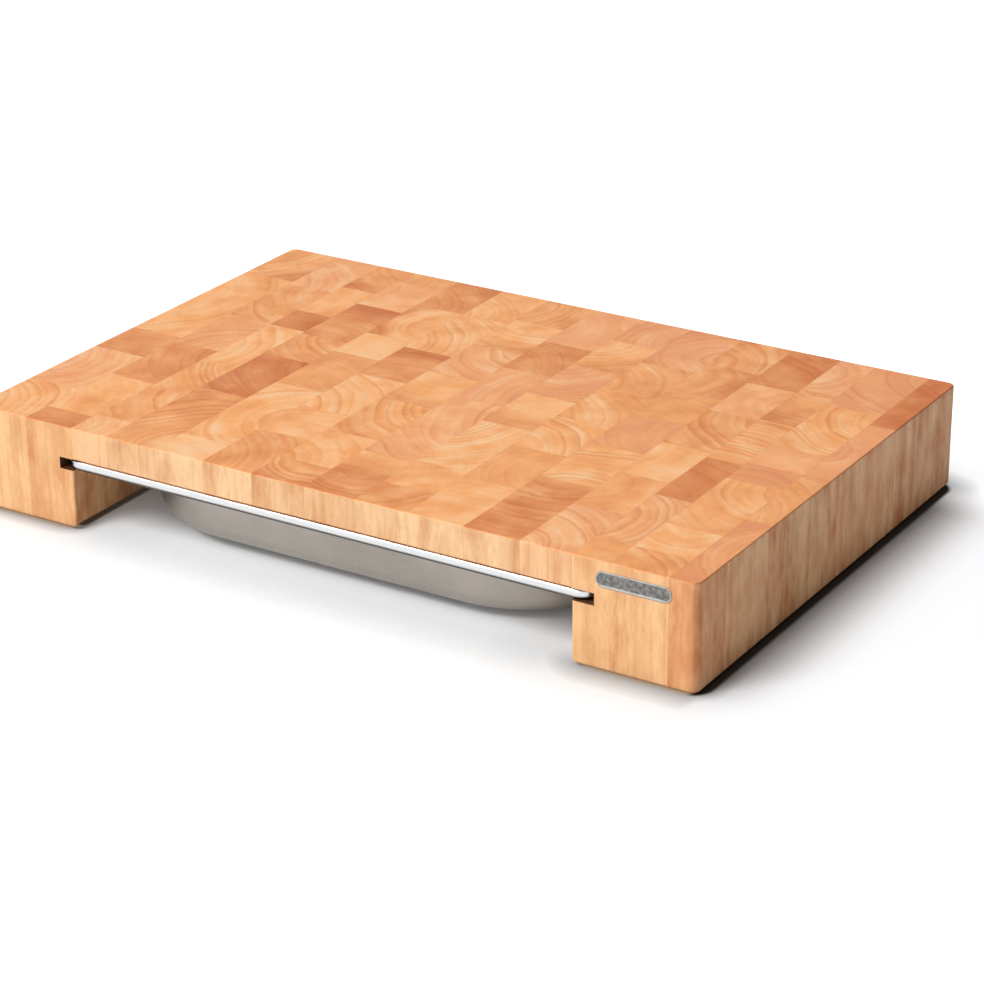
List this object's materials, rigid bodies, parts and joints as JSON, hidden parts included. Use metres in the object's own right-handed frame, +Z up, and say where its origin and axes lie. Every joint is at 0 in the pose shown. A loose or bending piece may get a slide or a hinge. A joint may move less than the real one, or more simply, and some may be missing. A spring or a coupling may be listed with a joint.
{
  "type": "cutting board with drawer tray",
  "caption": "End-grain wooden cutting board on two feet, with a shallow steel drawer tray that slides in grooves under the slab.",
  "frame": {"origin": "on the surface the board stands on, at the middle of its length and depth", "axes": "+X to the right along the board's length, +Y to the back, +Z up; the side with the small plate faces -Y"},
  "size_m": [0.48, 0.3254, 0.065],
  "materials": {
    "wood": "oiled end grain, sanded smooth",
    "tray_steel": "satin stainless steel sheet",
    "plate_metal": "dark antique metal, bare",
    "rubber": "matt black rubber",
    "screw_steel": "zinc-plated steel"
  },
  "bodies": {
    "board": {"left_foot_outer_strip": "wood", "left_foot_inner_strip": "wood", "slab_strip_1": "wood", "slab_strip_2": "wood", "slab_strip_3": "wood", "slab_strip_4": "wood", "slab_strip_5": "wood", "slab_strip_6": "wood", "slab_strip_7": "wood", "slab_strip_8": "wood", "slab_strip_9": "wood", "slab_strip_10": "wood", "right_foot_inner_strip": "wood", "right_foot_middle_strip": "wood", "right_foot_outer_strip": "wood", "front_plate": "plate_metal", "rubber_foot_front_left": "rubber", "rubber_foot_front_right": "rubber", "rubber_foot_back_left": "rubber", "rubber_foot_back_right": "rubber", "foot_screws": "screw_steel"},
    "tray": {"drawer_tray": "tray_steel"}
  },
  "joints": [
    {"name": "tray_slide", "type": "slide", "parent": "board", "child": "tray", "axis": [0, -1, 0], "range_m": [-0.24, 0.24]}
  ]
}
